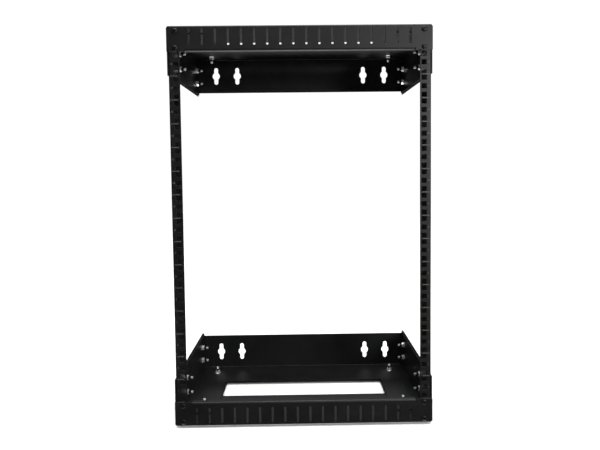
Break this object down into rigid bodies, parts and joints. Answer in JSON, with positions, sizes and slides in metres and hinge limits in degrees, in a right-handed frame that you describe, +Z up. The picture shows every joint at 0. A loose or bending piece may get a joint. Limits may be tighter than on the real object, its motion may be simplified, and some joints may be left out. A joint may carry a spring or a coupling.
{
  "type": "wall mount server rack",
  "caption": "Open wall mount frame for 19 inch equipment: black sheet trays at top and bottom with slotted fronts and keyholed wall plates, joined by perforated posts.",
  "frame": {"origin": "centre of the footprint on the plane of the lowest bolt heads, where the frame would stand", "axes": "+X to the right seen from the front, +Y from the equipment side to the wall, +Z up"},
  "size_m": [0.5042, 0.3076, 0.7692],
  "materials": {
    "black_coat": "fine textured black powder coat",
    "bright_zinc": "bright zinc plate",
    "black_zinc": "black zinc plate"
  },
  "bodies": {
    "root": {"bottom_front_tray": "black_coat", "bottom_rear_tray": "black_coat", "flange_screw_bottom_left_inner": "black_zinc", "flange_screw_bottom_left_outer": "black_zinc", "flange_screw_bottom_right_inner": "black_zinc", "flange_screw_bottom_right_outer": "black_zinc", "flange_screw_top_left_inner": "black_zinc", "flange_screw_top_left_outer": "black_zinc", "flange_screw_top_right_inner": "black_zinc", "flange_screw_top_right_outer": "black_zinc", "floor_bolt_bottom_left_front": "bright_zinc", "floor_bolt_bottom_left_rear": "bright_zinc", "floor_bolt_bottom_right_front": "bright_zinc", "floor_bolt_bottom_right_rear": "bright_zinc", "floor_bolt_top_left_front": "bright_zinc", "floor_bolt_top_left_rear": "bright_zinc", "floor_bolt_top_right_front": "bright_zinc", "floor_bolt_top_right_rear": "bright_zinc", "left_post": "black_coat", "right_post": "black_coat", "side_bolt_bottom_left_front_inner": "bright_zinc", "side_bolt_bottom_left_front_outer": "bright_zinc", "side_bolt_bottom_left_rear_inner": "bright_zinc", "side_bolt_bottom_left_rear_outer": "bright_zinc", "side_bolt_bottom_right_front_inner": "bright_zinc", "side_bolt_bottom_right_front_outer": "bright_zinc", "side_bolt_bottom_right_rear_inner": "bright_zinc", "side_bolt_bottom_right_rear_outer": "bright_zinc", "side_bolt_top_left_front_inner": "bright_zinc", "side_bolt_top_left_front_outer": "bright_zinc", "side_bolt_top_left_rear_inner": "bright_zinc", "side_bolt_top_left_rear_outer": "bright_zinc", "side_bolt_top_right_front_inner": "bright_zinc", "side_bolt_top_right_front_outer": "bright_zinc", "side_bolt_top_right_rear_inner": "bright_zinc", "side_bolt_top_right_rear_outer": "bright_zinc", "side_nut_bottom_left_front_inner": "bright_zinc", "side_nut_bottom_left_front_outer": "bright_zinc", "side_nut_bottom_left_rear_inner": "bright_zinc", "side_nut_bottom_left_rear_outer": "bright_zinc", "side_nut_bottom_right_front_inner": "bright_zinc", "side_nut_bottom_right_front_outer": "bright_zinc", "side_nut_bottom_right_rear_inner": "bright_zinc", "side_nut_bottom_right_rear_outer": "bright_zinc", "side_nut_top_left_front_inner": "bright_zinc", "side_nut_top_left_front_outer": "bright_zinc", "side_nut_top_left_rear_inner": "bright_zinc", "side_nut_top_left_rear_outer": "bright_zinc", "side_nut_top_right_front_inner": "bright_zinc", "side_nut_top_right_front_outer": "bright_zinc", "side_nut_top_right_rear_inner": "bright_zinc", "side_nut_top_right_rear_outer": "bright_zinc", "top_front_tray": "black_coat", "top_rear_tray": "black_coat"}
  },
  "joints": []
}
